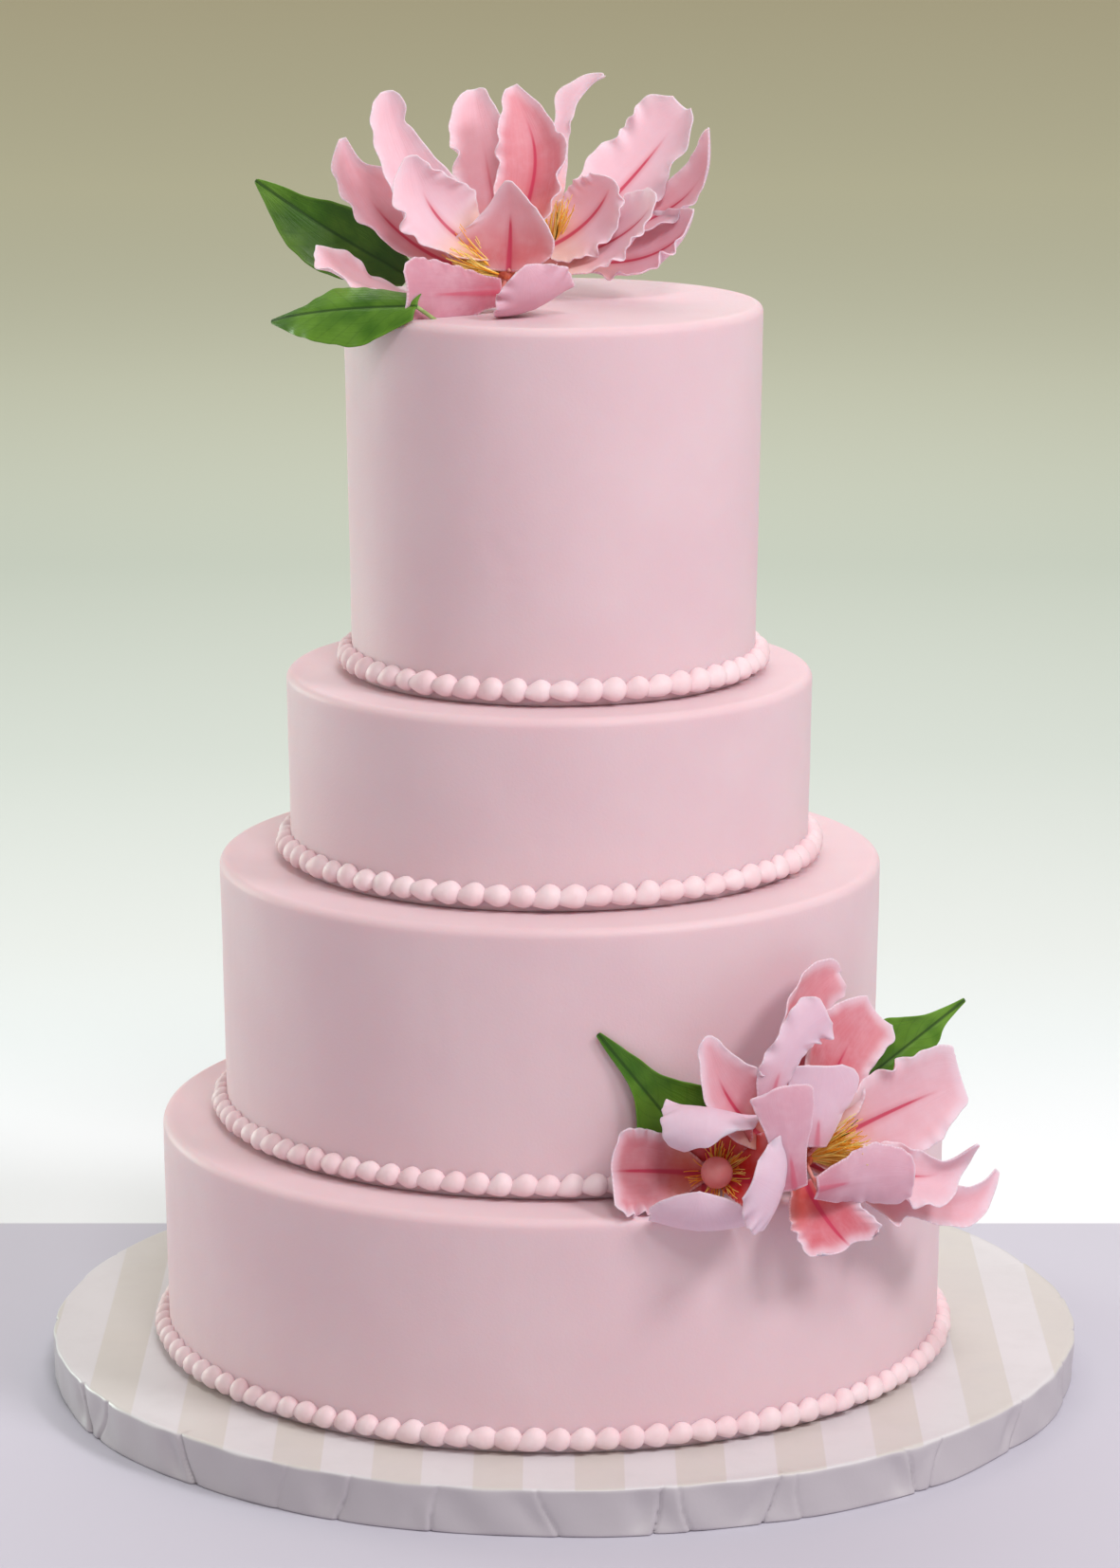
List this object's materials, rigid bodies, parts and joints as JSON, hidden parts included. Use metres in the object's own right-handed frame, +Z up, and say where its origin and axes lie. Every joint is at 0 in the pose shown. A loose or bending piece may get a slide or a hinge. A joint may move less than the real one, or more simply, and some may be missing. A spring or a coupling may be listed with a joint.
{
  "type": "tiered wedding cake",
  "caption": "Tall round iced cake in stepped tiers on a wrapped board, with piped bead borders and groups of sugar flowers and leaves on the top and on the lowest step.",
  "frame": {"origin": "middle of the board's underside", "axes": "+Z up; the cake's front, which carries the lower flowers, faces -Y; +X is to the right of someone who faces the front"},
  "size_m": [0.422, 0.422, 0.5285],
  "materials": {
    "icing": "matt",
    "bead_icing": "satin",
    "wrapped_board": "satin",
    "petal": "matt",
    "leaf": "satin",
    "stamen": "matt",
    "pistil": "satin"
  },
  "bodies": {
    "root": {"board": "wrapped_board", "tier_4_bottom": "icing", "bead_border_4_bottom": "bead_icing", "tier_3": "icing", "bead_border_3": "bead_icing", "tier_2": "icing", "bead_border_2": "bead_icing", "tier_1_top": "icing", "bead_border_1_top": "bead_icing", "step_left_pistil": "pistil", "top_left_petal_1": "petal", "top_left_petal_2": "petal", "top_left_petal_3": "petal", "top_left_petal_4": "petal", "top_left_petal_5": "petal", "top_left_petal_6": "petal", "top_left_petal_7": "petal", "top_left_petal_8": "petal", "top_left_petal_9": "petal", "top_right_petal_1": "petal", "top_right_petal_2": "petal", "top_right_petal_3": "petal", "top_right_petal_4": "petal", "top_right_petal_5": "petal", "top_right_petal_6": "petal", "step_left_petal_1": "petal", "step_left_petal_2": "petal", "step_left_petal_3": "petal", "step_left_petal_4": "petal", "step_right_petal_1": "petal", "step_right_petal_2": "petal", "step_right_petal_3": "petal", "step_right_petal_4": "petal", "step_right_petal_5": "petal", "step_right_petal_6": "petal", "step_right_petal_7": "petal", "step_right_petal_8": "petal", "step_right_petal_9": "petal", "step_right_petal_10": "petal", "step_right_petal_11": "petal", "top_leaf_1": "leaf", "top_leaf_2": "leaf", "step_leaf_1": "leaf", "step_leaf_2": "leaf", "top_left_stamens": "stamen", "top_right_stamens": "stamen", "step_left_stamens": "stamen", "step_right_stamens": "stamen"}
  },
  "joints": []
}
